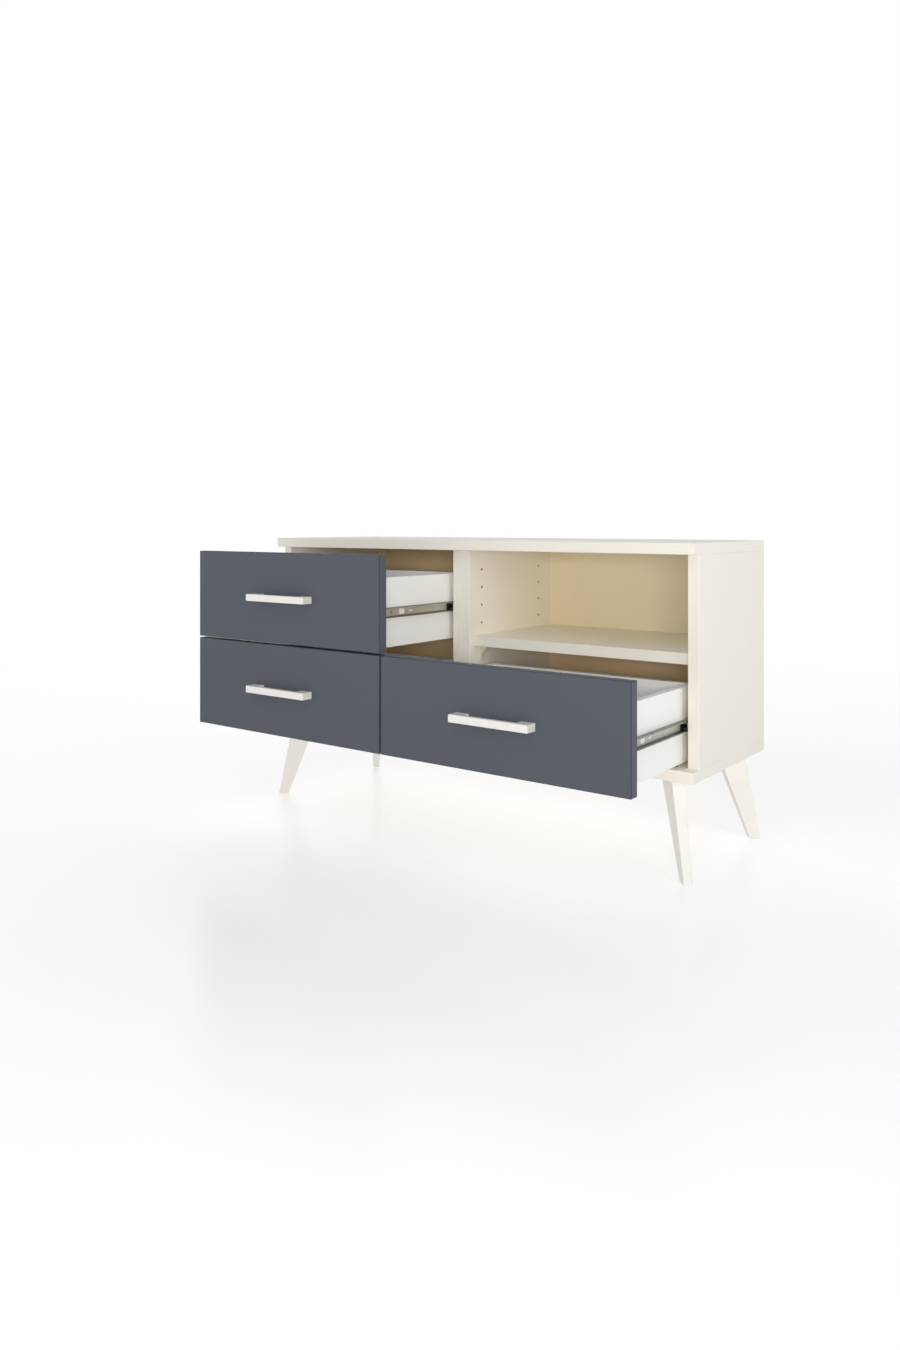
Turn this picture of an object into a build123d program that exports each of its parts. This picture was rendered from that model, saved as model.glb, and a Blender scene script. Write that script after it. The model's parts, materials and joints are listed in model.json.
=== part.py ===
from build123d import *
import os

# A low chest of drawers on four splayed legs: two drawers stacked on the left,
# one drawer under an open compartment on the right. It is modelled with all
# three drawers pulled out. Millimetres, floor at Z 0, front towards -Y.

os.makedirs("parts", exist_ok=True)

# Case
case_width = 900.0
case_depth = 300.0
bay_height = 329.0
board = 18.0
side_setback = 21.0
edge_ease = 0.6
rebate_width = 9.0
rebate_depth = 6.0
back_thickness = 3.0
back_clearance = 0.3
cut_overrun = 2.0
fit_gap = 0.1
end_gap = 0.3

# Legs
leg_height = 154.0
leg_top_width = 47.5
leg_top_thickness = 21.0
leg_foot_width = 18.5
leg_foot_thickness = 12.6
leg_inset_x = 48.5
leg_inset_front = 33.0
leg_inset_rear = 39.5
leg_splay_x = 34.5
leg_splay_y = 28.3
leg_ease = 0.8
leg_screw_inner = 5.0
leg_screw_outer = 13.0
leg_screw_bite = 27.0
glide_thickness = 1.0
glide_radius = 5.5
glide_ease = 0.3
glide_peg_radius = 1.5
glide_peg_height = 10.0

# Shelf and its pin holes
pin_pitch = 32.0
pin_setback = 39.0
pin_rear_margin = 20.0
pin_first_drop = 35.5
pin_hole_radius = 2.5
pin_hole_depth = 12.0
shelf_setback = 12.0
shelf_side_gap = 0.4
shelf_back_gap = 1.0
support_rise = 24.0
support_clearance = 3.0
support_width = 12.0
support_reach = 18.0
support_wall = 2.5
support_web_drop = 19.0
support_tab_drop = 4.0
support_hollow_share = 0.44
support_pin_length = 10.0
support_dimple_radius = 2.4
support_dimple_depth = 1.5

# Drawer fronts
front_thickness = 18.0
front_reveal = 1.5
front_seam = 3.0
front_gap_below = 3.0
front_gap_above = 4.0
front_ease = 0.8

# Drawer boxes
box_rise = 3.0
box_drop = 39.5
box_wall = 12.0
box_rear_gap = 14.0
box_ease = 0.5
box_floor_thickness = 3.0
box_floor_rise = 10.0
groove_depth = 5.0
groove_gap = 0.1

# Ball slides
slide_gap = 11.0
rail_setback = 2.0
rail_rear_gap = 10.0
slide_overlap = 50.0
rail_sheet = 1.0
rail_half_height = 8.5
rail_depth = 8.5
rail_lip = 0.8
runner_half_height = 4.8
runner_depth = 8.6
runner_setback = 1.0
runner_sheet = 1.3
cage_sheet = 0.6
cage_web = 0.8
cage_web_gap = 0.3
cage_half_height = 6.45
cage_depth = 6.1
cage_reach = 6.0
cage_overhang = 2.0
ball_radius = 1.05
ball_gap = 0.15
ball_setback = 4.6
ball_margin = 3.0
balls_per_row = 6
rail_hole_setback = 41.0
rail_access_setback = 69.0
rail_access_length = 15.0
rail_access_height = 9.5
rail_access_corner_share = 0.25
rail_slot_setback = 93.0
rail_slot_length = 12.0
rail_slot_height = 3.2
rail_slot_corner_share = 0.45
runner_hole_setback = 30.0

# Handles
handle_length = 142.0
handle_height = 12.0
handle_bar = 8.5
handle_reach = 22.0
handle_foot = 24.0
handle_ease = 0.6
handle_screw_spacing = 128.0
handle_screw_bite = 10.0

# Fasteners: head radius, head height, shank radius, then length where it is free
rail_screw_head = 3.0
rail_screw_sink = 1.6
rail_screw_shank = 1.5
rail_screw_length = 9.5
runner_screw_length = 13.0
case_screw_head = 4.5
case_screw_sink = 3.0
case_screw_shank = 2.5
case_screw_bite = 32.0
divider_screw_bite = 12.0
box_screw_head = 3.5
box_screw_sink = 2.5
box_screw_shank = 1.75
box_screw_bite = 24.0
leg_screw_head = 4.0
leg_screw_sink = 2.8
leg_screw_shank = 2.2
handle_screw_head = 4.0
handle_screw_crown = 2.4
handle_screw_shank = 2.0
screw_tip = 3.0
recess_width = 0.9
recess_share = 0.6
nail_head = 2.5
nail_crown = 1.0
nail_shank = 0.9
nail_bite = 15.0
nail_end_margin = 30.0
side_nails = 5
edge_nails = 4
dowel_radius = 4.0
dowel_flat_bite = 12.0
dowel_edge_bite = 18.0
dowel_margin = 24.0
joint_margin = 75.0
divider_screw_margin = 100.0
divider_screw_inset = 40.0
cam_radius = 7.5
cam_depth = 12.5
cam_offset = 34.0
cam_slot = 7.0
cam_recess_share = 0.25
cam_bolt_radius = 2.5
cam_head_radius = 2.9
cam_head_length = 4.0
cam_bolt_bite = 11.0
box_cam_radius = 6.0
box_cam_depth = 9.0
box_cam_offset = 24.0
box_joint_margin = 25.0

# Levels and lines that the sizes above give
left_end = -case_width / 2
right_end = case_width / 2
box_depth = case_depth - rebate_depth - box_rear_gap - front_thickness
rail_length = box_depth - rail_rear_gap - rail_setback
drawer_travel = rail_length - slide_overlap
front_edge = (drawer_travel + handle_reach - case_depth) / 2
back_edge = front_edge + case_depth
side_front = front_edge + side_setback
back_line = back_edge - rebate_depth
bottom_under = leg_height
bottom_top = bottom_under + board
top_under = bottom_top + bay_height
top_over = top_under + board
front_height = (bay_height - front_gap_below - front_seam - front_gap_above) / 2
front_back = front_edge + front_thickness
box_rear = front_back + box_depth
rail_front = front_back + rail_setback
rail_rear = rail_front + rail_length
runner_front = side_front + runner_setback
runner_rear = runner_front + rail_length
left_bay = (left_end + board, -board)
right_bay = (board, right_end - board)
pin_reach = back_line - pin_rear_margin - side_front - pin_setback
pin_spacing = pin_pitch * int(pin_reach // pin_pitch)
pin_columns = (side_front + pin_setback, side_front + pin_setback + pin_spacing)
pin_top = top_under - pin_first_drop
lower_box_top = bottom_top + front_gap_below + front_height - box_drop
pin_drop = pin_top - support_tab_drop - support_clearance - lower_box_top
pin_rows = int(pin_drop // pin_pitch) + 1
support_pin_z = pin_top - pin_pitch * (pin_rows - 1)
shelf_under = support_pin_z + support_rise


def block(xs, ys, zs, ease=0):
    """A box between three pairs of limits, with its edges eased."""
    x0, x1 = sorted(xs)
    y0, y1 = sorted(ys)
    z0, z1 = sorted(zs)
    solid = Box(x1 - x0, y1 - y0, z1 - z0)
    if ease:
        solid = chamfer(solid.edges(), ease)
    return Pos((x0 + x1) / 2, (y0 + y1) / 2, (z0 + z1) / 2) * solid


def rod(point, direction, radius, length):
    """A round bar that starts at a point and runs along a direction."""
    base = Plane(origin=point, z_dir=direction)
    upright = (Align.CENTER, Align.CENTER, Align.MIN)
    return base * Cylinder(radius, length, align=upright)


def turned(point, direction, outline):
    """A solid turned from an outline of (radius, depth) pairs, depth along the direction."""
    wire = Polyline([(r, 0, z) for r, z in outline], close=True)
    return Plane(origin=point, z_dir=direction) * revolve(make_face(wire), Axis.Z)


def cross_recess(point, direction, head, top, depth):
    """The cross that a driver turns, cut into a screw head from its top."""
    place = Plane(origin=point, z_dir=direction) * Pos(0, 0, top + depth / 2)
    arm = Box(head, recess_width, depth)
    return place * (arm + Rot(0, 0, 90) * arm)


def flat_screw(point, direction, head, sink, shank, length):
    """A countersunk screw whose head is flush at the point."""
    outline = [(0, 0), (head, 0), (shank, sink), (shank, length - screw_tip), (0, length)]
    solid = turned(point, direction, outline)
    return solid - cross_recess(point, direction, head, 0, sink * recess_share)


def flat_screw_hole(point, direction, head, sink, shank, length):
    """The hole that a countersunk screw fills, open above its head."""
    wide = head + fit_gap
    slim = shank + fit_gap
    deep = length + end_gap
    outline = [(0, -cut_overrun), (wide, -cut_overrun), (wide, 0)]
    outline += [(slim, sink), (slim, deep), (0, deep)]
    return turned(point, direction, outline)


def pan_screw(point, direction, head, crown, shank, length):
    """A raised-head screw whose head rests on the face at the point."""
    outline = [(0, -crown), (head - crown / 2, -crown), (head, -crown / 2), (head, 0)]
    outline += [(shank, 0), (shank, length - screw_tip / 2), (shank - fit_gap, length), (0, length)]
    solid = turned(point, direction, outline)
    return solid - cross_recess(point, direction, head, -crown, crown * recess_share)


def group(solids):
    """Alike pieces kept as separate solids of one node."""
    return Compound([piece.solid() for piece in solids])


def spread(low, high, count):
    """Evenly spaced places from low to high."""
    return [low + (high - low) * i / (count - 1) for i in range(count)]


parts = {}
cuts = {}


def cut(name, tool):
    """Keep a cutting tool for a board until all of its joints are known."""
    cuts.setdefault(name, []).append(tool)


def lay_case_boards():
    """The boards of the case, before their joints are cut."""
    width = (left_end, right_end)
    depth = (front_edge, back_edge)
    upright = (bottom_top, top_under)
    parts["top_panel"] = block(width, depth, (top_under, top_over), edge_ease)
    parts["bottom_panel"] = block(width, depth, (bottom_under, bottom_top), edge_ease)
    side_depth = (side_front, back_edge)
    parts["left_side_panel"] = block((left_end, left_bay[0]), side_depth, upright, edge_ease)
    parts["right_side_panel"] = block((right_bay[1], right_end), side_depth, upright, edge_ease)
    divider_depth = (side_front, back_line)
    parts["left_divider_panel"] = block((left_bay[1], 0), divider_depth, upright, edge_ease)
    parts["right_divider_panel"] = block((0, right_bay[0]), divider_depth, upright, edge_ease)


def lay_back_panel():
    """A thin back let into a rebate of the sides, the bottom and the top."""
    half = right_bay[1] + rebate_width
    low = bottom_top - rebate_width
    high = top_under + rebate_width
    behind = (back_line, back_edge + cut_overrun)
    channel = block((-half, half), behind, (low, high))
    for name in ("left_side_panel", "right_side_panel", "top_panel", "bottom_panel"):
        cut(name, channel)
    wide = (-half + back_clearance, half - back_clearance)
    tall = (low + back_clearance, high - back_clearance)
    parts["back_panel"] = block(wide, (back_line, back_line + back_thickness), tall)


def back_nail_places():
    """(board, x, z) of each nail: down the uprights, then along the top and bottom."""
    low = bottom_top + nail_end_margin
    high = top_under - nail_end_margin
    uprights = {
        "left_side_panel": left_bay[0] - rebate_width / 2,
        "left_divider_panel": -board / 2,
        "right_divider_panel": board / 2,
        "right_side_panel": right_bay[1] + rebate_width / 2,
    }
    places = []
    for name, x in uprights.items():
        places += [(name, x, z) for z in spread(low, high, side_nails)]
    edges = {
        "bottom_panel": bottom_top - rebate_width / 2,
        "top_panel": top_under + rebate_width / 2,
    }
    for name, z in edges.items():
        for bay in (left_bay, right_bay):
            xs = spread(bay[0] + nail_end_margin, bay[1] - nail_end_margin, edge_nails)
            places += [(name, x, z) for x in xs]
    return places


def drive_back_nails():
    """Flat-headed nails from behind, through the back and into the boards."""
    forward = (0, -1, 0)
    length = back_thickness + nail_bite
    outline = [(0, -nail_crown), (nail_head, -nail_crown), (nail_head, 0), (nail_shank, 0)]
    outline += [(nail_shank, length - nail_shank), (0, length)]
    nails = []
    for name, x, z in back_nail_places():
        point = (x, back_line + back_thickness, z)
        nails.append(turned(point, forward, outline))
        hole = rod(point, forward, nail_shank + fit_gap, length + end_gap)
        cut(name, hole)
        cut("back_panel", hole)
    parts["back_panel_nails"] = group(nails)


def upright_boards():
    """Name and middle X of the four upright boards."""
    half = board / 2
    return {
        "left_side_panel": left_end + half,
        "left_divider_panel": -half,
        "right_divider_panel": half,
        "right_side_panel": right_end - half,
    }


def joint_rows(margin):
    """The front and rear places of a joint along an upright's end."""
    return (side_front + margin, back_edge - margin)


def fit_dowels():
    """Glued dowels between each upright and the panels above and below it."""
    dowels = []
    length = dowel_flat_bite + dowel_edge_bite
    for name, x in upright_boards().items():
        for y in joint_rows(dowel_margin):
            for flat, level, rise in (("bottom_panel", bottom_top, -1), ("top_panel", top_under, 1)):
                up = (0, 0, -rise)
                point = (x, y, level + rise * dowel_flat_bite)
                dowels.append(rod(point, up, dowel_radius, length))
                start = (x, y, level + rise * (dowel_flat_bite + end_gap))
                hole = rod(start, up, dowel_radius + fit_gap, length + end_gap * 2)
                cut(name, hole)
                cut(flat, hole)
    parts["panel_dowels"] = group(dowels)


def fit_case_screws():
    """Countersunk screws from below, through the bottom and up into each upright."""
    up = (0, 0, 1)
    size = (case_screw_head, case_screw_sink, case_screw_shank, board + case_screw_bite)
    screws = []
    for name, x in upright_boards().items():
        for y in joint_rows(joint_margin):
            point = (x, y, bottom_under)
            screws.append(flat_screw(point, up, *size))
            hole = flat_screw_hole(point, up, *size)
            cut(name, hole)
            cut("bottom_panel", hole)
    parts["case_screws"] = group(screws)


def cam_pair(centre, way, bolt_way, wall, radius, depth, offset):
    """A cam in a board's face (way points out of it) and the bolt whose head it draws in."""
    x, y, z = centre
    inward = (-way, 0, 0)
    middle = (x - way * wall / 2, y, z)
    disc = rod(centre, inward, radius, depth)
    disc -= rod(middle, bolt_way, cam_slot / 2, radius + cut_overrun)
    disc -= cross_recess(centre, inward, radius, 0, depth * cam_recess_share)
    head_start = tuple(m + b * end_gap for m, b in zip(middle, bolt_way))
    bolt = rod(head_start, bolt_way, cam_head_radius, cam_head_length)
    bolt += rod(head_start, bolt_way, cam_bolt_radius, offset + cam_bolt_bite - end_gap)
    above = (x + way * cut_overrun, y, z)
    seat = rod(above, inward, radius + fit_gap, depth + fit_gap + cut_overrun)
    tunnel = rod(middle, bolt_way, cam_bolt_radius + fit_gap, offset + cam_bolt_bite + end_gap)
    return disc, bolt, [seat, tunnel]


def fit_case_cams():
    """Cam fittings that draw the top down onto the sides and the left divider."""
    fittings = []
    inner_faces = {
        "left_side_panel": (left_bay[0], 1),
        "left_divider_panel": (left_bay[1], -1),
        "right_side_panel": (right_bay[1], -1),
    }
    sizes = (board, cam_radius, cam_depth, cam_offset)
    for name, (x, way) in inner_faces.items():
        for y in joint_rows(joint_margin):
            centre = (x, y, top_under - cam_offset)
            disc, bolt, tools = cam_pair(centre, way, (0, 0, 1), *sizes)
            fittings += [disc, bolt]
            for tool in tools:
                cut(name, tool)
                cut("top_panel", tool)
    parts["case_cam_fittings"] = group(fittings)


def fit_divider_screws():
    """Screws that join the two divider boards into one, heads on the left."""
    size = (case_screw_head, case_screw_sink, case_screw_shank, board + divider_screw_bite)
    screws = []
    for y in (side_front + divider_screw_margin, back_line - divider_screw_margin):
        for z in (bottom_top + divider_screw_inset, top_under - divider_screw_inset):
            point = (left_bay[1], y, z)
            screws.append(flat_screw(point, (1, 0, 0), *size))
            hole = flat_screw_hole(point, (1, 0, 0), *size)
            cut("left_divider_panel", hole)
            cut("right_divider_panel", hole)
    parts["divider_screws"] = group(screws)


def drill_pin_holes():
    """Two columns of blind holes on each wall of the open compartment."""
    walls = (("right_divider_panel", right_bay[0], -1), ("right_side_panel", right_bay[1], 1))
    for row in range(pin_rows):
        z = pin_top - pin_pitch * row
        for y in pin_columns:
            for name, x, way in walls:
                start = (x - way * cut_overrun, y, z)
                cut(name, rod(start, (way, 0, 0), pin_hole_radius, pin_hole_depth + cut_overrun))


def shelf_support(x, y, way):
    """A moulded bracket: a pin in the wall, a tab up the wall and a web under the shelf."""
    tab_low = support_pin_z - support_tab_drop
    web_low = shelf_under - support_web_drop
    reach = x + way * support_reach
    wall = x + way * support_wall
    lip = shelf_under - support_wall
    hollow_x = wall + (reach - wall) * support_hollow_share
    hollow_z = lip - (lip - web_low) * support_hollow_share
    outline = [(wall, web_low), (wall, tab_low), (x, tab_low)]
    outline += [(x, shelf_under), (reach, shelf_under), (reach, lip)]
    front = y - support_width / 2
    straight = Polyline([(px, front, pz) for px, pz in outline])
    curve = ThreePointArc((reach, front, lip), (hollow_x, front, hollow_z), (wall, front, web_low))
    body = extrude(make_face(straight + curve), amount=support_width, dir=(0, 1, 0))
    peg = rod((x, y, support_pin_z), (-way, 0, 0), pin_hole_radius - fit_gap, support_pin_length)
    dimple_start = (wall - way * support_dimple_depth, y, support_pin_z)
    dimple = rod(dimple_start, (way, 0, 0), support_dimple_radius, support_dimple_depth + cut_overrun)
    return body + peg - dimple


def lay_shelf():
    """The shelf, which rests loose on four brackets."""
    width = (right_bay[0] + shelf_side_gap, right_bay[1] - shelf_side_gap)
    depth = (side_front + shelf_setback, back_line - shelf_back_gap)
    parts["shelf"] = block(width, depth, (shelf_under, shelf_under + board), edge_ease)
    supports = []
    for x, way in ((right_bay[0], 1), (right_bay[1], -1)):
        supports += [shelf_support(x, y, way) for y in pin_columns]
    parts["shelf_supports"] = group(supports)


def leg_corners():
    """Name, side (-1 left, 1 right), end (-1 front, 1 rear) and top centre of each leg."""
    rows = []
    ends = ((-1, "front", front_edge + leg_inset_front), (1, "rear", back_edge - leg_inset_rear))
    for end, end_word, line in ends:
        for side, side_word in ((-1, "left"), (1, "right")):
            centre = (side * (right_end - leg_inset_x), line)
            rows.append((f"{end_word}_{side_word}_leg", side, end, centre))
    return rows


def build_leg(side, end, centre):
    """A board on edge that tapers both ways and leans out towards its corner."""
    lean = Vector(side, end, 0).normalized()
    foot = (centre[0] + side * leg_splay_x, centre[1] + end * leg_splay_y, glide_thickness)
    head = (centre[0], centre[1], leg_height)
    low = Plane(origin=foot, x_dir=lean, z_dir=(0, 0, 1)) * Rectangle(leg_foot_width, leg_foot_thickness)
    high = Plane(origin=head, x_dir=lean, z_dir=(0, 0, 1)) * Rectangle(leg_top_width, leg_top_thickness)
    leg = loft([low, high], ruled=True)
    kept = leg.edges().sort_by(Axis.Z)[:-4]
    return chamfer(kept, leg_ease), lean, foot


def fit_legs():
    """The four legs, the screws that hold them and the glides under them."""
    down = (0, 0, -1)
    size = (leg_screw_head, leg_screw_sink, leg_screw_shank, board + leg_screw_bite)
    screws = []
    glides = []
    for name, side, end, centre in leg_corners():
        leg, lean, foot = build_leg(side, end, centre)
        parts[name] = leg
        for offset in (-leg_screw_inner, leg_screw_outer):
            point = (centre[0] + lean.X * offset, centre[1] + lean.Y * offset, bottom_top)
            screws.append(flat_screw(point, down, *size))
            hole = flat_screw_hole(point, down, *size)
            cut("bottom_panel", hole)
            cut(name, hole)
        disc = rod((foot[0], foot[1], 0), (0, 0, 1), glide_radius, glide_thickness)
        disc = chamfer(disc.edges().sort_by(Axis.Z)[:1], glide_ease)
        peg = rod(foot, (0, 0, 1), glide_peg_radius, glide_peg_height)
        glides.append(disc + peg)
        cut(name, rod(foot, (0, 0, 1), glide_peg_radius + fit_gap, glide_peg_height + end_gap))
    parts["leg_screws"] = group(screws)
    parts["floor_glides"] = group(glides)


def slab(face, way, depths, ys, zs):
    """A box at two depths in front of an upright face, on the side that way points to."""
    return block((face + way * depths[0], face + way * depths[1]), ys, zs)


def window(face, way, y, z, length, height, corner):
    """A round-cornered hole through the sheet that lies on a face, long along Y."""
    plane = Plane(origin=(face - way * cut_overrun, y, z), x_dir=(0, 1, 0), z_dir=(way, 0, 0))
    return extrude(plane * RectangleRounded(length, height, corner), rail_sheet + cut_overrun * 2)


def drawer_rail(face, way, z):
    """The channel on a drawer's side: a web on the wood, two flanges and two small lips."""
    ys = (rail_front, rail_rear)
    tall = (z - rail_half_height, z + rail_half_height)
    rail = slab(face, way, (0, rail_sheet), ys, tall)
    for k in (-1, 1):
        edge = z + k * rail_half_height
        rail += slab(face, way, (0, rail_depth), ys, (edge, edge - k * rail_sheet))
        lip = (edge, edge - k * (rail_sheet + rail_lip))
        rail += slab(face, way, (rail_depth - rail_lip, rail_depth), ys, lip)
    corner = rail_access_height * rail_access_corner_share
    y = rail_front + rail_access_setback
    rail -= window(face, way, y, z, rail_access_length, rail_access_height, corner)
    corner = rail_slot_height * rail_slot_corner_share
    y = rail_front + rail_slot_setback
    return rail - window(face, way, y, z, rail_slot_length, rail_slot_height, corner)


def cabinet_runner(face, way, z):
    """The narrow rail on the case wall, with its two flanges towards the drawer."""
    ys = (runner_front, runner_rear)
    tall = (z - runner_half_height, z + runner_half_height)
    runner = slab(face, way, (slide_gap - runner_sheet, slide_gap), ys, tall)
    for k in (-1, 1):
        edge = z + k * runner_half_height
        flange = (edge, edge - k * runner_sheet)
        runner += slab(face, way, (slide_gap - runner_depth, slide_gap), ys, flange)
    return runner


def ball_places(z):
    """(y, z) of each ball, between the runner's front and the rail's rear, both rows."""
    low = runner_front + ball_margin
    high = rail_rear - drawer_travel - ball_margin
    race = (rail_half_height - rail_sheet + runner_half_height) / 2
    return [(y, z + k * race) for k in (-1, 1) for y in spread(low, high, balls_per_row)]


def ball_cage(face, way, z):
    """The retainer that runs between the two rails, and the balls it holds."""
    ys = (side_front - cage_reach, rail_rear - drawer_travel + cage_overhang)
    near = rail_sheet + cage_web_gap
    tall = (z - cage_half_height, z + cage_half_height)
    cage = slab(face, way, (near, near + cage_web), ys, tall)
    for k in (-1, 1):
        edge = z + k * cage_half_height
        cage += slab(face, way, (near, near + cage_depth), ys, (edge, edge - k * cage_sheet))
    balls = []
    for y, ball_z in ball_places(z):
        centre = (face + way * ball_setback, y, ball_z)
        balls.append(Pos(*centre) * Sphere(ball_radius))
        start = (centre[0], y, ball_z - ball_radius)
        cage -= rod(start, (0, 0, 1), ball_radius + ball_gap, ball_radius * 2)
    return cage, balls


def build_handle(x, z):
    """A square bridge handle: a flat bar on two broad feet, drilled from behind."""
    half = handle_length / 2
    zs = (z - handle_height / 2, z + handle_height / 2)
    tip = front_edge - handle_reach
    handle = block((x - half, x + half), (tip, tip + handle_bar), zs)
    for k in (-1, 1):
        end = x + k * half
        handle += block((end, end - k * handle_foot), (tip, front_edge), zs)
    handle = chamfer(handle.edges(), handle_ease)
    for k in (-1, 1):
        point = (x + k * handle_screw_spacing / 2, front_edge, z)
        handle -= rod(point, (0, -1, 0), handle_screw_shank + fit_gap, handle_screw_bite + end_gap)
    return handle


def drawer_walls(name, bay, low):
    """The four boards and the floor of a drawer box, and its limits."""
    xs = (bay[0] + slide_gap, bay[1] - slide_gap)
    zs = (low + box_rise, low + front_height - box_drop)
    ys = (front_back, box_rear)
    parts[name + "_left_side"] = block((xs[0], xs[0] + box_wall), ys, zs, box_ease)
    parts[name + "_right_side"] = block((xs[1] - box_wall, xs[1]), ys, zs, box_ease)
    inner = (xs[0] + box_wall, xs[1] - box_wall)
    parts[name + "_back"] = block(inner, (box_rear - box_wall, box_rear), zs, box_ease)
    floor_z = zs[0] + box_floor_rise
    deep = groove_depth - end_gap
    floor_x = (inner[0] - deep, inner[1] + deep)
    floor_y = (front_back - deep, box_rear - box_wall + deep)
    parts[name + "_bottom"] = block(floor_x, floor_y, (floor_z, floor_z + box_floor_thickness))
    groove_x = (inner[0] - groove_depth, inner[1] + groove_depth)
    groove_y = (front_back - groove_depth, box_rear - box_wall + groove_depth)
    groove_z = (floor_z - groove_gap, floor_z + box_floor_thickness + groove_gap)
    groove = block(groove_x, groove_y, groove_z)
    for wall in ("_left_side", "_right_side", "_back", "_front"):
        cut(name + wall, groove)
    return xs, zs


def drawer_fittings(name, xs, zs):
    """Screws from the sides into the back, and cam fittings from the sides to the front."""
    fittings = []
    size = (box_screw_head, box_screw_sink, box_screw_shank, box_wall + box_screw_bite)
    cam_sizes = (box_wall, box_cam_radius, box_cam_depth, box_cam_offset)
    heights = (zs[0] + box_joint_margin, zs[1] - box_joint_margin)
    for x, way, wall in ((xs[0], 1, "_left_side"), (xs[1], -1, "_right_side")):
        for z in heights:
            point = (x, box_rear - box_wall / 2, z)
            fittings.append(flat_screw(point, (way, 0, 0), *size))
            hole = flat_screw_hole(point, (way, 0, 0), *size)
            cut(name + wall, hole)
            cut(name + "_back", hole)
            centre = (x + way * box_wall, front_back + box_cam_offset, z)
            disc, bolt, tools = cam_pair(centre, way, (0, -1, 0), *cam_sizes)
            fittings += [disc, bolt]
            for tool in tools:
                cut(name + wall, tool)
                cut(name + "_front", tool)
    parts[name + "_fittings"] = group(fittings)


def drawer_slides(name, xs, z):
    """Rails, runners, cages, balls and rail screws on both sides of a drawer."""
    rails = []
    runners = []
    cages = []
    balls = []
    rail_screws = []
    runner_screws = []
    rail_size = (rail_screw_head, rail_screw_sink, rail_screw_shank, rail_screw_length)
    runner_size = (rail_screw_head, rail_screw_sink, rail_screw_shank, runner_screw_length)
    for face, way, wall in ((xs[0], -1, "_left_side"), (xs[1], 1, "_right_side")):
        rail = drawer_rail(face, way, z)
        for y in (rail_front + rail_hole_setback, rail_rear - rail_hole_setback):
            point = (face + way * rail_sheet, y, z)
            rail_screws.append(flat_screw(point, (-way, 0, 0), *rail_size))
            hole = flat_screw_hole(point, (-way, 0, 0), *rail_size)
            rail -= hole
            cut(name + wall, hole)
        rails.append(rail)
        runner = cabinet_runner(face, way, z)
        for y in (runner_front + runner_hole_setback, runner_rear - runner_hole_setback):
            point = (face + way * (slide_gap - runner_sheet), y, z)
            runner_screws.append(flat_screw(point, (way, 0, 0), *runner_size))
            hole = flat_screw_hole(point, (way, 0, 0), *runner_size)
            runner -= hole
            cut(wall_beside(face + way * slide_gap), hole)
        runners.append(runner)
        cage, cage_balls = ball_cage(face, way, z)
        cages.append(cage)
        balls += cage_balls
    parts[name + "_rails"] = group(rails)
    parts[name + "_rail_screws"] = group(rail_screws)
    parts[name + "_runners"] = group(runners)
    parts[name + "_ball_cages"] = group(cages)
    parts[name + "_balls"] = group(balls)
    return runner_screws


def wall_beside(x):
    """The upright whose face is at X."""
    faces = {
        "left_side_panel": left_bay[0],
        "left_divider_panel": left_bay[1],
        "right_divider_panel": right_bay[0],
        "right_side_panel": right_bay[1],
    }
    return min(faces, key=lambda name: abs(faces[name] - x))


def drawer_front(name, bay, low):
    """The flat front, its handle and the handle's screws."""
    if bay == left_bay:
        xs = (left_end + front_reveal, -front_seam / 2)
    else:
        xs = (front_seam / 2, right_end - front_reveal)
    parts[name + "_front"] = block(xs, (front_edge, front_back), (low, low + front_height), front_ease)
    x = (xs[0] + xs[1]) / 2
    z = low + front_height / 2
    parts[name + "_handle"] = build_handle(x, z)
    forward = (0, -1, 0)
    length = front_thickness + handle_screw_bite
    size = (handle_screw_head, handle_screw_crown, handle_screw_shank, length)
    screws = []
    for k in (-1, 1):
        point = (x + k * handle_screw_spacing / 2, front_back, z)
        screws.append(pan_screw(point, forward, *size))
        cut(name + "_front", rod(point, forward, handle_screw_shank + fit_gap, front_thickness))
    parts[name + "_handle_screws"] = group(screws)


def build_drawers():
    """All three drawers, closed, with their slides."""
    lower = bottom_top + front_gap_below
    upper = lower + front_height + front_seam
    table = (("upper_left_drawer", left_bay, upper), ("lower_left_drawer", left_bay, lower))
    table += (("right_drawer", right_bay, lower),)
    runner_screws = []
    for name, bay, low in table:
        drawer_front(name, bay, low)
        xs, zs = drawer_walls(name, bay, low)
        drawer_fittings(name, xs, zs)
        runner_screws += drawer_slides(name, xs, (zs[0] + zs[1]) / 2)
    parts["runner_screws"] = group(runner_screws)
    return [row[0] for row in table]


def pull_out(drawers):
    """Slide each drawer forward by its travel; its cages are made where they end up."""
    fixed = ("_runners", "_ball_cages", "_balls")
    for name in parts:
        moves = name.startswith(tuple(drawers)) and not name.endswith(fixed)
        if moves:
            parts[name] = Pos(0, -drawer_travel, 0) * parts[name]


lay_case_boards()
lay_back_panel()
drive_back_nails()
fit_dowels()
fit_case_screws()
fit_case_cams()
fit_divider_screws()
drill_pin_holes()
lay_shelf()
fit_legs()
drawer_names = build_drawers()

for name, tools in cuts.items():
    parts[name] = parts[name] - tools

pull_out(drawer_names)

for name, shape in parts.items():
    export_step(shape, f"parts/{name}.step")
print(len(parts), "nodes; rail length", rail_length, "front height", front_height)
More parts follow.
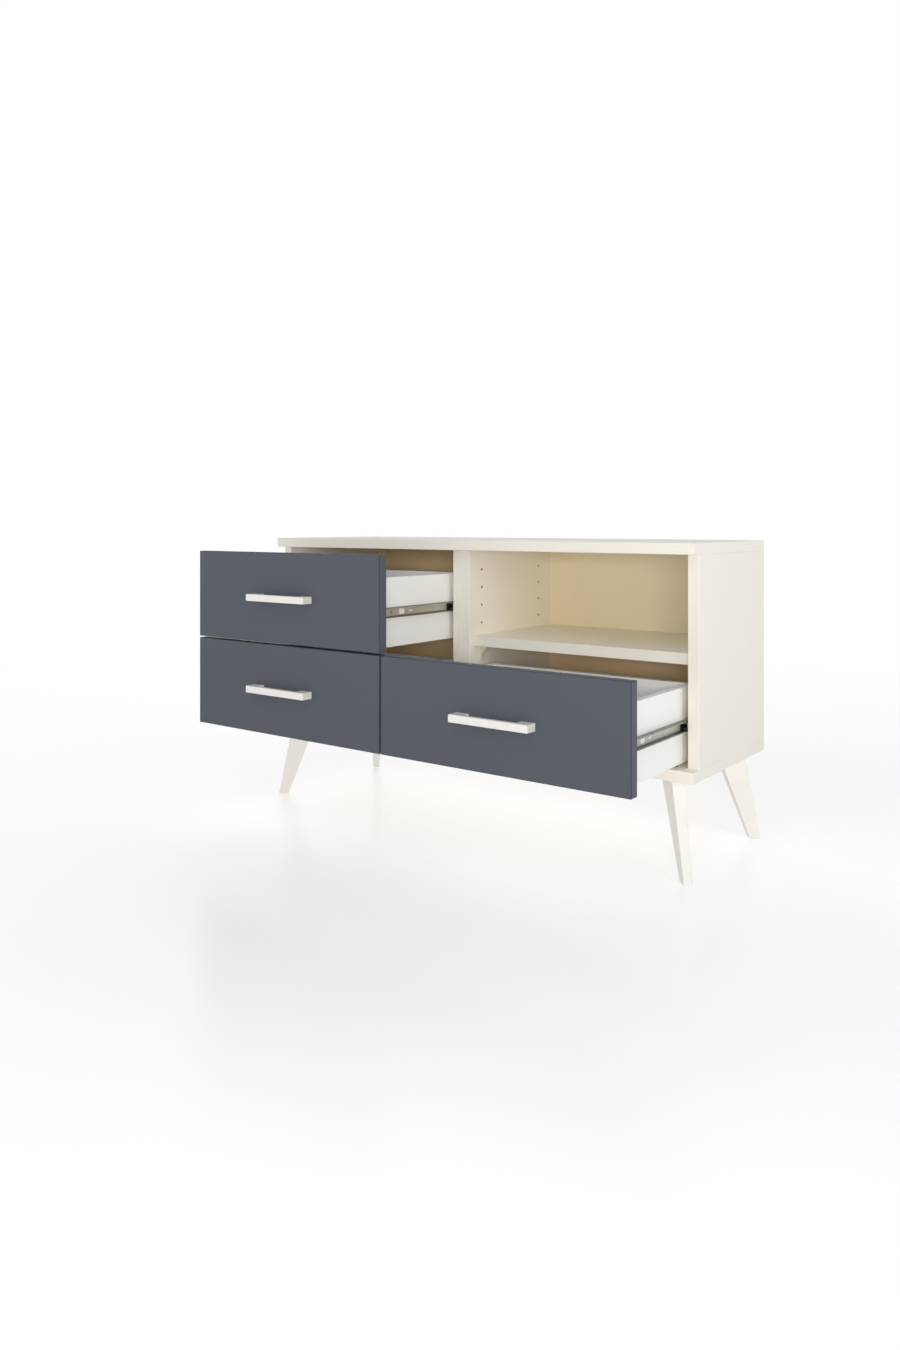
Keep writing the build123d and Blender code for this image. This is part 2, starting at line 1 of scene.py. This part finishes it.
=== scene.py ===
import json
import math
import bpy
import numpy as np
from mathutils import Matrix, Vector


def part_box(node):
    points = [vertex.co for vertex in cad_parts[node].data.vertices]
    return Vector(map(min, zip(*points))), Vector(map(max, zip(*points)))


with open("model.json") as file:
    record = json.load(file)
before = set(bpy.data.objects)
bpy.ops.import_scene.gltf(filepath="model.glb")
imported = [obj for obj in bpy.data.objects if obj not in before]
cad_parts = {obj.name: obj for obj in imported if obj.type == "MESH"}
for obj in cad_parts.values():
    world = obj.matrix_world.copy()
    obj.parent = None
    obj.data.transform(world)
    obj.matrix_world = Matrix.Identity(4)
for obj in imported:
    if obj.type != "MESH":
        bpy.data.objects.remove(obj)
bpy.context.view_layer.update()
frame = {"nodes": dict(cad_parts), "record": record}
nodes = frame["nodes"]
print("frame loaded:", len(nodes), "nodes")

noiseRange = (0.3, 0.7)  # a noise seldom leaves this part of 0 to 1
noiseMiddle = 0.5


# small helpers for node trees

def fillInputs(tree, node, values):
    # by input name or number: a socket is linked, anything else becomes the input's own value
    for key, value in values.items():
        if isinstance(value, bpy.types.NodeSocket):
            tree.links.new(value, node.inputs[key])
        else:
            node.inputs[key].default_value = value


def addNode(tree, kind, values=None, **attrs):
    node = tree.nodes.new(kind)
    for key, value in attrs.items():
        setattr(node, key, value)
    fillInputs(tree, node, values or {})
    return node


def useGroup(tree, group, values):
    return addNode(tree, "ShaderNodeGroup", values, node_tree=group)


def newMaterial(name):
    mat = bpy.data.materials.new(name)
    mat.use_nodes = True
    tree = mat.node_tree
    tree.nodes.clear()
    shader = addNode(tree, "ShaderNodeBsdfPrincipled")
    addNode(tree, "ShaderNodeOutputMaterial", {"Surface": shader.outputs["BSDF"]})
    return mat, tree, shader


def newGroup(name, inputs, outputs):
    # a shader node group and its two ends, from (name, kind, default) in and (name, kind) out
    group = bpy.data.node_groups.new(name, "ShaderNodeTree")
    for label, kind, default in inputs:
        socket = group.interface.new_socket(name=label, in_out="INPUT", socket_type=kind)
        socket.default_value = default
    for label, kind in outputs:
        group.interface.new_socket(name=label, in_out="OUTPUT", socket_type=kind)
    gin = group.nodes.new("NodeGroupInput")
    gout = group.nodes.new("NodeGroupOutput")
    return group, gin.outputs, gout


def objectCoord(tree):
    return addNode(tree, "ShaderNodeTexCoord").outputs["Object"]


def faceNormal(tree):
    return addNode(tree, "ShaderNodeNewGeometry").outputs["Normal"]


def splitVector(tree, vector):
    return addNode(tree, "ShaderNodeSeparateXYZ", {0: vector}).outputs


def calc(tree, operation, *values, **attrs):
    # one operation on numbers, each a socket or a value; returns the result's socket
    node = addNode(tree, "ShaderNodeMath", dict(enumerate(values)), operation=operation, **attrs)
    return node.outputs[0]


def calcVector(tree, operation, *values):
    # one operation on vectors; length and dot product give a number
    node = addNode(tree, "ShaderNodeVectorMath", dict(enumerate(values)), operation=operation)
    return node.outputs["Value" if operation in ("LENGTH", "DOT_PRODUCT") else "Vector"]


def mixColour(tree, factor, first, second):
    mix = addNode(tree, "ShaderNodeMix", {0: factor, 6: first, 7: second}, data_type="RGBA")
    return mix.outputs[2]


def mixNumber(tree, factor, first, second):
    mix = addNode(tree, "ShaderNodeMix", {0: factor, 2: first, 3: second}, data_type="FLOAT")
    return mix.outputs[0]


def mapValue(tree, value, low, high, fromLow=0.0, fromHigh=1.0):
    ramp = addNode(tree, "ShaderNodeMapRange", {
        "Value": value, "From Min": fromLow, "From Max": fromHigh, "To Min": low, "To Max": high})
    return ramp.outputs[0]


def addNoise(tree, vector, scale, detail, roughness=0.5):
    noise = addNode(tree, "ShaderNodeTexNoise", {
        "Vector": vector, "Scale": scale, "Detail": detail, "Roughness": roughness})
    return noise.outputs["Fac"]


def bumpOn(tree, shader, height, strength, distance):
    bump = addNode(tree, "ShaderNodeBump", {
        "Height": height, "Strength": strength, "Distance": distance})
    fillInputs(tree, shader, {"Normal": bump.outputs["Normal"]})


def srgb(r, g, b):
    # 0 to 255 as seen on a screen, to the linear value that a shader wants
    parts = (r / 255, g / 255, b / 255)
    lin = [c / 12.92 if c <= 0.04045 else ((c + 0.055) / 1.055) ** 2.4 for c in parts]
    return (*lin, 1.0)


def shaded(colour, share):
    # a colour with its three parts brought down or up by one share, none of them over 1
    return (*(min(1.0, c * share) for c in colour[:3]), 1.0)


# effects that several materials share

straightNormal = 0.95  # a face is slanted where the largest part of its normal is under this


def makeBoardMasks():
    # two masks of a board from its own box: the distance from the nearest of its six planes says
    # where a hole or groove goes into the core, and a slanted normal near them is an eased edge
    group, gin, gout = newGroup("boardMasks", [
        ("Low", "NodeSocketVector", (0, 0, 0)),
        ("High", "NodeSocketVector", (1, 1, 1)),
        ("Skin", "NodeSocketFloat", 0.0008)],
        [("Core", "NodeSocketFloat"), ("Ease", "NodeSocketFloat")])
    place = objectCoord(group)
    above = calcVector(group, "SUBTRACT", place, gin["Low"])
    below = calcVector(group, "SUBTRACT", gin["High"], place)
    depth = extremeOf(group, calcVector(group, "MINIMUM", above, below), "MINIMUM")
    core = calc(group, "GREATER_THAN", depth, gin["Skin"])
    straight = extremeOf(group, calcVector(group, "ABSOLUTE", faceNormal(group)), "MAXIMUM")
    slanted = calc(group, "LESS_THAN", straight, straightNormal)
    ease = calc(group, "MULTIPLY", slanted, calc(group, "SUBTRACT", 1.0, core))
    fillInputs(group, gout, {"Core": core, "Ease": ease})
    return group


def extremeOf(group, vector, operation):
    # the smallest or largest of a vector's three parts
    parts = splitVector(group, vector)
    return calc(group, operation, calc(group, operation, parts["X"], parts["Y"]), parts["Z"])


chipLook = {
    "dark": srgb(150, 118, 82), "pale": srgb(205, 176, 134), "gap": srgb(120, 92, 62),
    "gapShare": 0.5, "gapRange": (0.4, 0.7), "fineScale": 1400.0}


def makeChipCore():
    # pressed wood chips: cells of mixed tone, with a finer noise between them
    group, gin, gout = newGroup("chipCore", [
        ("Chip size", "NodeSocketFloat", 420.0)],
        [("Colour", "NodeSocketColor"), ("Height", "NodeSocketFloat")])
    place = objectCoord(group)
    cells = addNode(group, "ShaderNodeTexVoronoi", {
        "Vector": place, "Scale": gin["Chip size"], "Randomness": 1.0})
    grey = addNode(group, "ShaderNodeRGBToBW", {0: cells.outputs["Color"]}).outputs[0]
    fine = addNoise(group, place, chipLook["fineScale"], 3.0)
    gap = mapValue(group, fine, 0.0, chipLook["gapShare"], *chipLook["gapRange"])
    tone = mixColour(group, grey, chipLook["dark"], chipLook["pale"])
    tone = mixColour(group, gap, tone, chipLook["gap"])
    fillInputs(group, gout, {"Colour": tone, "Height": grey})
    return group


def makeFoilTone():
    # broad soft patches and fine specks: the slight unevenness of a pressed foil or lacquer. The
    # colour is scaled by 1 plus each noise's distance from its middle times its strength
    group, gin, gout = newGroup("foilTone", [
        ("Colour", "NodeSocketColor", (0.8, 0.8, 0.8, 1)),
        ("Patch strength", "NodeSocketFloat", 0.03),
        ("Patch size", "NodeSocketFloat", 4.0),
        ("Speck strength", "NodeSocketFloat", 0.02),
        ("Speck size", "NodeSocketFloat", 900.0),
        ("Shift", "NodeSocketVector", (0, 0, 0))],
        [("Colour", "NodeSocketColor"), ("Mask", "NodeSocketFloat")])
    place = calcVector(group, "ADD", objectCoord(group), gin["Shift"])
    patch = addNoise(group, place, gin["Patch size"], 3.0, 0.55)
    speck = addNoise(group, place, gin["Speck size"], 2.0, 0.6)
    parts = []
    for noise, strength in ((patch, "Patch strength"), (speck, "Speck strength")):
        centred = calc(group, "SUBTRACT", noise, noiseMiddle)
        parts.append(calc(group, "MULTIPLY", centred, gin[strength]))
    gain = calc(group, "ADD", calc(group, "ADD", *parts), 1.0)
    tint = addNode(group, "ShaderNodeVectorMath", {0: gin["Colour"], "Scale": gain},
                   operation="SCALE")
    fillInputs(group, gout, {"Colour": tint.outputs[0], "Mask": patch})
    return group


wideShare = 0.35  # height of the wide ripple against the fine one


def makeOrangePeel():
    # the height of a sprayed or pressed skin: a fine round ripple on a wider, weaker one
    group, gin, gout = newGroup("orangePeel", [
        ("Fine size", "NodeSocketFloat", 700.0),
        ("Wide size", "NodeSocketFloat", 60.0)],
        [("Height", "NodeSocketFloat")])
    place = objectCoord(group)
    fine = addNoise(group, place, gin["Fine size"], 2.0)
    wide = addNoise(group, place, gin["Wide size"], 1.0, 0.4)
    height = calc(group, "ADD", calc(group, "MULTIPLY", wide, wideShare), fine)
    fillInputs(group, gout, {"Height": height})
    return group


poreRange = (0.55, 0.8)  # the noise at which a pore begins and is deepest


def makeFinePore():
    # short pores along one axis: a noise stretched along it and cut off to thin dashes
    group, gin, gout = newGroup("finePore", [
        ("Stretch", "NodeSocketVector", (6.0, 260.0, 260.0)),
        ("Amount", "NodeSocketFloat", 0.5)],
        [("Mask", "NodeSocketFloat")])
    stretched = calcVector(group, "MULTIPLY", objectCoord(group), gin["Stretch"])
    dashes = mapValue(group, addNoise(group, stretched, 1.0, 4.0, 0.6), 0.0, 1.0, *poreRange)
    fillInputs(group, gout, {"Mask": calc(group, "MULTIPLY", dashes, gin["Amount"])})
    return group


def makeEdgeWearAndHighlight():
    # where a surface turns sharply, for worn edges and a painted highlight: the difference between
    # a rounded and a flat normal
    group, gin, gout = newGroup("edgeWearAndHighlight", [
        ("Width", "NodeSocketFloat", 0.001),
        ("Strength", "NodeSocketFloat", 1.0)],
        [("Mask", "NodeSocketFloat")])
    bevel = addNode(group, "ShaderNodeBevel", {"Radius": gin["Width"]}, samples=4)
    same = calcVector(group, "DOT_PRODUCT", bevel.outputs["Normal"], faceNormal(group))
    away = calc(group, "SUBTRACT", 1.0, same)
    mask = calc(group, "MULTIPLY", away, gin["Strength"], use_clamp=True)
    fillInputs(group, gout, {"Mask": mask})
    return group


flangeShadeShape = {
    "levelNormal": 0.5,  # a face is level where the upright part of its normal is over this
    "scale": 160.0, "thinnest": 0.75}


def makeFlangeShade():
    # a mask of painted shade for level faces (their normal points up or down) and for a narrow
    # band at the
    # top and bottom of the piece: the larger of the two, broken up by a fine noise
    group, gin, gout = newGroup("flangeShade", [
        ("Low", "NodeSocketFloat", 0.0),
        ("High", "NodeSocketFloat", 1.0),
        ("Band", "NodeSocketFloat", 0.001)],
        [("Mask", "NodeSocketFloat")])
    place = objectCoord(group)
    z = splitVector(group, place)["Z"]
    above = calc(group, "SUBTRACT", z, gin["Low"])
    below = calc(group, "SUBTRACT", gin["High"], z)
    edge = calc(group, "LESS_THAN", calc(group, "MINIMUM", above, below), gin["Band"])
    upright = calc(group, "ABSOLUTE", splitVector(group, faceNormal(group))["Z"])
    level = calc(group, "GREATER_THAN", upright, flangeShadeShape["levelNormal"])
    noise = addNoise(group, place, flangeShadeShape["scale"], 3.0, 0.6)
    broken = mapValue(group, noise, flangeShadeShape["thinnest"], 1.0, *noiseRange)
    mask = calc(group, "MULTIPLY", calc(group, "MAXIMUM", edge, level), broken, use_clamp=True)
    fillInputs(group, gout, {"Mask": mask})
    return group


def makePaintedBayShadeZone():
    # a mask for the front face of the back board where drawers stand before it, where painted warm
    # shade
    # goes: 1 where the face looks inwards (y under Inner) and lies below Level or left of Line, 0
    # elsewhere
    group, gin, gout = newGroup("paintedBayShadeZone", [
        ("Inner", "NodeSocketFloat", 0.0),
        ("Level", "NodeSocketFloat", 0.0),
        ("Line", "NodeSocketFloat", 0.0)],
        [("Mask", "NodeSocketFloat")])
    place = splitVector(group, objectCoord(group))
    inner = calc(group, "LESS_THAN", place["Y"], gin["Inner"])
    lower = calc(group, "LESS_THAN", place["Z"], gin["Level"])
    left = calc(group, "LESS_THAN", place["X"], gin["Line"])
    either = calc(group, "MAXIMUM", lower, left)
    fillInputs(group, gout, {"Mask": calc(group, "MULTIPLY", inner, either)})
    return group


boardMasks = makeBoardMasks()
flangeShade = makeFlangeShade()
paintedBayShadeZone = makePaintedBayShadeZone()
chipCore = makeChipCore()
foilTone = makeFoilTone()
orangePeel = makeOrangePeel()
finePore = makeFinePore()
edgeWearAndHighlight = makeEdgeWearAndHighlight()
print("shared effects ready")


# boards and lacquered pieces

# rough is the range of roughness, patch and speck are the strengths of uneven tone and peel is
# that of the ripple. A board with an easeTone is cut: its holes show chips, and its eased edges
# take easeShare of that darker tone
boardLooks = {
    "cream_board": dict(colour=srgb(242, 238, 228), patch=0.03, speck=0.03, rough=(0.38, 0.5),
                        peel=0.10, specular=0.4, easeShare=0.06, easeTone=0.8),
    "slate_board": dict(colour=srgb(85, 89, 98), patch=0.05, speck=0.025, rough=(0.5, 0.62),
                        peel=0.08, specular=0.25, easeShare=0.9, easeTone=0.35),
    "white_board": dict(colour=srgb(246, 246, 244), patch=0.02, speck=0.02, rough=(0.42, 0.54),
                        peel=0.08, specular=0.35, easeShare=0.2, easeTone=0.8),
    # bayShade: a painted warm shade that the back board takes behind the drawers
    "cream_hardboard": dict(colour=srgb(240, 230, 205), bayShade=srgb(250, 226, 188), patch=0.05,
                            speck=0.05, rough=(0.55, 0.7), peel=0.2, specular=0.25),
    "white_hardboard": dict(colour=srgb(240, 240, 238), patch=0.04, speck=0.04, rough=(0.5, 0.65),
                            peel=0.15, specular=0.25),
    "cream_lacquer": dict(colour=srgb(242, 240, 235), patch=0.025, speck=0.02, rough=(0.3, 0.42),
                          peel=0.12, specular=0.45),
}

# what all boards share: noise sizes are counts per metre, skin and bumpDepth are metres
boardSurface = {
    "patchSize": 5.0, "speckSize": 1100.0, "shiftStep": (1.7, 0.9, 2.3),
    "pore": (7.0, 240.0, 240.0), "poreAmount": 0.05, "poreTone": 0.85,
    "peelFine": 900.0, "peelWide": 90.0, "bumpDepth": 0.0004,
    "skin": 0.0009, "chipSize": 420.0, "chipRough": 0.9}


def showCore(tree, look, box, colour, rough, height):
    # a cut board: eased edges take the look's tone, and holes show chips, rough and uneven
    masks = useGroup(tree, boardMasks, {
        "Low": box[0], "High": box[1], "Skin": boardSurface["skin"]})
    chips = useGroup(tree, chipCore, {"Chip size": boardSurface["chipSize"]})
    core = masks.outputs["Core"]
    soft = mapValue(tree, masks.outputs["Ease"], 0.0, look["easeShare"])
    colour = mixColour(tree, soft, colour, shaded(look["colour"], look["easeTone"]))
    colour = mixColour(tree, core, colour, chips.outputs["Colour"])
    rough = mixNumber(tree, core, rough, boardSurface["chipRough"])
    height = mixNumber(tree, core, height, chips.outputs["Height"])
    return colour, rough, height


def paintBayShade(tree, look, box, colour):
    # painted warm shade of the deep bays on the back board behind the drawers; shelf and divider
    # hide its end
    shelf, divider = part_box("shelf"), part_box("left_divider_panel")
    zone = useGroup(tree, paintedBayShadeZone, {
        "Inner": (box[0][1] + box[1][1]) / 2,
        "Level": (shelf[0][2] + shelf[1][2]) / 2,
        "Line": divider[1][0]})
    return mixColour(tree, zone.outputs["Mask"], colour, look["bayShade"])


def makeBoardMaterial(name, look, box, number):
    # foil or lacquer with its own patches on each board
    mat, tree, shader = newMaterial(name)
    tone = useGroup(tree, foilTone, {
        "Colour": look["colour"],
        "Patch strength": look["patch"], "Patch size": boardSurface["patchSize"],
        "Speck strength": look["speck"], "Speck size": boardSurface["speckSize"],
        "Shift": tuple(number * step for step in boardSurface["shiftStep"])})
    pore = useGroup(tree, finePore, {
        "Stretch": boardSurface["pore"], "Amount": boardSurface["poreAmount"]})
    colour = mixColour(tree, pore.outputs["Mask"], tone.outputs["Colour"],
                       shaded(look["colour"], boardSurface["poreTone"]))
    rough = mapValue(tree, tone.outputs["Mask"], *look["rough"], *noiseRange)
    peel = useGroup(tree, orangePeel, {
        "Fine size": boardSurface["peelFine"], "Wide size": boardSurface["peelWide"]})
    height = peel.outputs["Height"]
    if "easeTone" in look:
        colour, rough, height = showCore(tree, look, box, colour, rough, height)
    # painted warm shade on the back board behind the drawers
    if "bayShade" in look:
        colour = paintBayShade(tree, look, box, colour)
    bumpOn(tree, shader, height, look["peel"], boardSurface["bumpDepth"])
    fillInputs(tree, shader, {
        "Base Color": colour, "Roughness": rough, "Specular IOR Level": look["specular"]})
    return mat


# metals and plastics

# along is the count per metre of the drawn noise on each axis
metalLooks = {
    "fastener_steel": dict(colour=srgb(200, 198, 190), dark=srgb(150, 148, 140), metallic=1.0,
                           rough=(0.25, 0.42), along=(120.0, 120.0, 120.0), bump=0.08),
    "polished_ball_steel": dict(colour=srgb(225, 226, 228), dark=srgb(190, 190, 192), metallic=1.0,
                                rough=(0.08, 0.16), along=(200.0, 200.0, 200.0), bump=0.04),
    "pale_handle_metal": dict(colour=srgb(241, 240, 235), dark=srgb(235, 234, 228), metallic=0.08,
                              rough=(0.3, 0.38), along=(90.0, 240.0, 240.0), bump=0.02),
}

# the slides, darkened by painted shade on level faces and within edgeBand of the top and foot
railLook = {
    "colour": srgb(221, 221, 214), "dark": srgb(195, 195, 186), "metallic": 0.75,
    "rough": (0.32, 0.48), "along": (300.0, 8.0, 300.0), "bump": 0.08,
    "paintedShade": srgb(84, 84, 81), "paintedShadeShare": 0.85, "edgeBand": 0.0011, "lowerBand": 0.0011}
metalSurface = {
    "toneRange": (0.35, 0.7), "wearWidth": 0.0006, "wearStrength": 1.6, "wearAndHighlightTone": 1.12,
    "bumpDepth": 0.0002}


def drawnMetal(tree, shader, look):
    # a noise stretched along the way the metal was drawn moves its tone, roughness and height
    stretched = calcVector(tree, "MULTIPLY", objectCoord(tree), look["along"])
    drawn = addNoise(tree, stretched, 1.0, 5.0, 0.6)
    low, high = look["rough"]
    rough = mapValue(tree, drawn, high, low, *noiseRange)
    fillInputs(tree, shader, {"Roughness": rough, "Metallic": look["metallic"]})
    bumpOn(tree, shader, drawn, look["bump"], metalSurface["bumpDepth"])
    amount = mapValue(tree, drawn, 0.0, 1.0, *metalSurface["toneRange"])
    return mixColour(tree, amount, look["dark"], look["colour"])


def makeRailMaterial(name, look, box):
    # drawn zinc-plated strip; painted shade darkens the flanges, where the balls run
    mat, tree, shader = newMaterial(name)
    colour = drawnMetal(tree, shader, look)
    paintedShade = useGroup(tree, flangeShade, {
        "Low": box[0][2] + look["lowerBand"], "High": box[1][2], "Band": look["edgeBand"]})
    # painted shade darkens the flanges and the top and foot
    share = mapValue(tree, paintedShade.outputs["Mask"], 0.0, look["paintedShadeShare"])
    colour = mixColour(tree, share, colour, look["paintedShade"])
    fillInputs(tree, shader, {"Base Color": colour})
    return mat


def makeMetalMaterial(name, look):
    # drawn or polished metal, a little brighter along its edges: wear and a painted highlight
    mat, tree, shader = newMaterial(name)
    colour = drawnMetal(tree, shader, look)
    wearAndHighlight = useGroup(tree, edgeWearAndHighlight, {
        "Width": metalSurface["wearWidth"], "Strength": metalSurface["wearStrength"]})
    # worn edges with a painted highlight
    bright = shaded(look["colour"], metalSurface["wearAndHighlightTone"])
    colour = mixColour(tree, wearAndHighlight.outputs["Mask"], colour, bright)
    fillInputs(tree, shader, {"Base Color": colour})
    return mat


plasticLooks = {
    "black_plastic": dict(colour=srgb(28, 28, 30), rough=(0.35, 0.5)),
    "pale_plastic": dict(colour=srgb(222, 216, 200), rough=(0.4, 0.55)),
    "white_plastic": dict(colour=srgb(225, 224, 219), rough=(0.45, 0.6)),
}
plasticSurface = {
    "patch": 0.06, "patchSize": 40.0, "speck": 0.05, "speckSize": 1500.0,
    "peelFine": 1600.0, "peelWide": 200.0, "bump": 0.15, "bumpDepth": 0.0002}


def makePlasticMaterial(name, look):
    # moulded plastic: faint patches and specks in its tone, and a fine ripple
    mat, tree, shader = newMaterial(name)
    tone = useGroup(tree, foilTone, {
        "Colour": look["colour"],
        "Patch strength": plasticSurface["patch"], "Patch size": plasticSurface["patchSize"],
        "Speck strength": plasticSurface["speck"], "Speck size": plasticSurface["speckSize"]})
    rough = mapValue(tree, tone.outputs["Mask"], *look["rough"], *noiseRange)
    fillInputs(tree, shader, {"Base Color": tone.outputs["Colour"], "Roughness": rough})
    peel = useGroup(tree, orangePeel, {
        "Fine size": plasticSurface["peelFine"], "Wide size": plasticSurface["peelWide"]})
    bumpOn(tree, shader, peel.outputs["Height"], plasticSurface["bump"],
           plasticSurface["bumpDepth"])
    return mat


beechLook = {
    "colour": srgb(216, 184, 146), "pore": srgb(176, 136, 98), "poreSize": (400.0, 400.0, 20.0),
    "poreAmount": 0.6, "rough": (0.55, 0.75), "bump": 0.2, "bumpDepth": 0.0002}


def makeBeechMaterial(name, look):
    # beech with short darker pores, which are also rougher
    mat, tree, shader = newMaterial(name)
    pore = useGroup(tree, finePore, {
        "Stretch": look["poreSize"], "Amount": look["poreAmount"]}).outputs["Mask"]
    fillInputs(tree, shader, {
        "Base Color": mixColour(tree, pore, look["colour"], look["pore"]),
        "Roughness": mapValue(tree, pore, *look["rough"])})
    bumpOn(tree, shader, pore, look["bump"], look["bumpDepth"])
    return mat


# metals and plastics are shared; each board and each slide gets a material from its own box

materials = {}
for metalName, metalLook in metalLooks.items():
    materials[metalName] = makeMetalMaterial(metalName, metalLook)
for plasticName, plasticLook in plasticLooks.items():
    materials[plasticName] = makePlasticMaterial(plasticName, plasticLook)
materials["beech_dowel"] = makeBeechMaterial("beech_dowel", beechLook)
print("materials ready:", len(materials))

slotOf = {row["node"]: row["material_slot"] for row in frame["record"]["subparts"]}
for number, (nodeName, cadObject) in enumerate(sorted(nodes.items())):
    slotName = slotOf[nodeName]
    ownName = f"{slotName}_{nodeName}"
    if slotName in boardLooks:
        finish = makeBoardMaterial(ownName, boardLooks[slotName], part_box(nodeName), number)
    elif slotName == "zinc_plated_steel":
        finish = makeRailMaterial(ownName, railLook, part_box(nodeName))
    else:
        finish = materials[slotName]
    cadObject.data.materials.clear()
    cadObject.data.materials.append(finish)
print("boards and hardware dressed")


# floor, light and camera

plainWhite = (1.0, 1.0, 1.0, 1.0)
floorLook = {
    "colour": srgb(249, 249, 250), "rough": 0.22, "specular": 0.25,
    "size": 14.0,       # metres
    "glow": 0.26,       # own light as the camera sees it
    "bounce": 0.1,      # own light that falls on the object
    "fade": (0.9, 2.6)  # metres from the middle where the floor starts and ends turning white
}


def gridMesh(name, uCount, vCount, shape):
    # a surface from a function of two parameters u and v, both 0 to 1, on a whole grid at once
    u, v = np.meshgrid(np.linspace(0, 1, uCount), np.linspace(0, 1, vCount), indexing="ij")
    points = shape(u, v).reshape(-1, 3)
    corner = (np.arange(uCount - 1)[:, None] * vCount + np.arange(vCount - 1)[None, :]).ravel()
    faces = np.stack([corner, corner + vCount, corner + vCount + 1, corner + 1], axis=1)
    mesh = bpy.data.meshes.new(name)
    mesh.from_pydata(points.tolist(), [], faces.tolist())
    obj = bpy.data.objects.new(name, mesh)
    bpy.context.scene.collection.objects.link(obj)
    return obj


def floorShape(u, v):
    # a flat square: x and y run straight from one side to the other, z is 0
    size = floorLook["size"]
    return np.stack([(u - 0.5) * size, (v - 0.5) * size, np.zeros_like(u)], axis=-1)


floor = gridMesh("floor", 3, 3, floorShape)


def makeFloorMaterial():
    # pale and faintly glossy near the object, plain white further out so that no horizon shows
    mat, tree, shader = newMaterial("floor_white")
    fillInputs(tree, shader, {
        "Base Color": floorLook["colour"], "Roughness": floorLook["rough"],
        "Specular IOR Level": floorLook["specular"]})
    toCamera = addNode(tree, "ShaderNodeLightPath").outputs["Is Camera Ray"]
    glow = addNode(tree, "ShaderNodeEmission", {
        "Color": plainWhite,
        "Strength": mapValue(tree, toCamera, floorLook["bounce"], floorLook["glow"])})
    near = addNode(tree, "ShaderNodeAddShader", {0: shader.outputs["BSDF"], 1: glow.outputs[0]})
    far = addNode(tree, "ShaderNodeEmission", {"Color": plainWhite, "Strength": 1.0})
    away = calcVector(tree, "LENGTH", objectCoord(tree))
    both = addNode(tree, "ShaderNodeMixShader", {
        0: mapValue(tree, away, 0.0, 1.0, *floorLook["fade"]),
        1: near.outputs[0], 2: far.outputs[0]})
    out = next(n for n in tree.nodes if n.type == "OUTPUT_MATERIAL")
    fillInputs(tree, out, {"Surface": both.outputs[0]})
    return mat


floor.data.materials.append(makeFloorMaterial())

# the world lights with this strength and colour; the camera and reflections see it plain white
worldLook = {"strength": 0.38, "colour": (0.97, 0.99, 1.04, 1.0)}
world = bpy.data.worlds.new("studio")
bpy.context.scene.world = world
world.use_nodes = True
worldTree = world.node_tree
worldTree.nodes.clear()
path = addNode(worldTree, "ShaderNodeLightPath").outputs
seen = calc(worldTree, "MAXIMUM", path["Is Camera Ray"], path["Is Glossy Ray"])
background = addNode(worldTree, "ShaderNodeBackground", {
    "Color": mixColour(worldTree, seen, worldLook["colour"], plainWhite),
    "Strength": mapValue(worldTree, seen, worldLook["strength"], 1.0)})
addNode(worldTree, "ShaderNodeOutputWorld", {"Surface": background.outputs[0]})


# large lamps, all aimed at one point: place and size in metres, power in watts
lampTarget = (0, 0, 0.35)
lampLooks = {
    "key": dict(place=(3.4, -1.2, 0.9), size=(1.6, 1.0), power=25.5, colour=(0.99, 0.995, 1.015)),
    "fill": dict(place=(1.62, -2.3, 0.63), size=(0.8, 0.3), power=20, colour=(1.0, 0.94, 0.83)),
    "left": dict(place=(-1.7, -2.5, 0.75), size=(1.4, 0.6), power=7.5, colour=(1.0, 0.96, 0.88)),
    "above": dict(place=(0.7, -1.8, 2.25), size=(1.6, 1.2), power=9.5, colour=(0.98, 0.99, 1.03)),
    "rear": dict(place=(-2.0, 2.0, 2.0), size=(2.0, 2.0), power=22, colour=(1.0, 0.99, 0.97)),
}


def softLamp(name, place, size, power, colour):
    data = bpy.data.lights.new(name, "AREA")
    data.color = colour
    data.shape = "RECTANGLE"
    data.size, data.size_y = size
    data.energy = power
    lamp = bpy.data.objects.new(name, data)
    bpy.context.scene.collection.objects.link(lamp)
    lamp.location = place
    lamp.visible_glossy = False
    aim = np.array(lampTarget) - np.array(place)
    yaw = math.atan2(aim[1], aim[0]) - math.pi / 2
    pitch = math.atan2(aim[2], math.hypot(aim[0], aim[1])) + math.pi / 2
    lamp.rotation_euler = (pitch, 0, yaw)


for lampName, lampLook in lampLooks.items():
    softLamp(lampName, **lampLook)

# place in metres, yaw in degrees, lens and sensor in millimetres, shift in sensor widths
cameraLook = {
    "place": (1.0779, -1.4789, 0.5478), "yaw": 37.05, "lens": 27.04, "sensor": 36.0,
    "shiftY": -0.1120}
cameraData = bpy.data.cameras.new("camera")
cameraData.lens = cameraLook["lens"]
cameraData.sensor_width = cameraLook["sensor"]
cameraData.shift_y = cameraLook["shiftY"]
camera = bpy.data.objects.new("camera", cameraData)
bpy.context.scene.collection.objects.link(camera)
camera.location = cameraLook["place"]
camera.rotation_euler = (math.pi / 2, 0, math.radians(cameraLook["yaw"]))
bpy.context.scene.camera = camera
bpy.context.scene.view_settings.view_transform = "Standard"

# more bounces than the default, for the deep bays behind the drawers
bounceLook = {"all": 16, "diffuse": 12}
bpy.context.scene.cycles.max_bounces = bounceLook["all"]
bpy.context.scene.cycles.diffuse_bounces = bounceLook["diffuse"]
print("stage and camera ready")
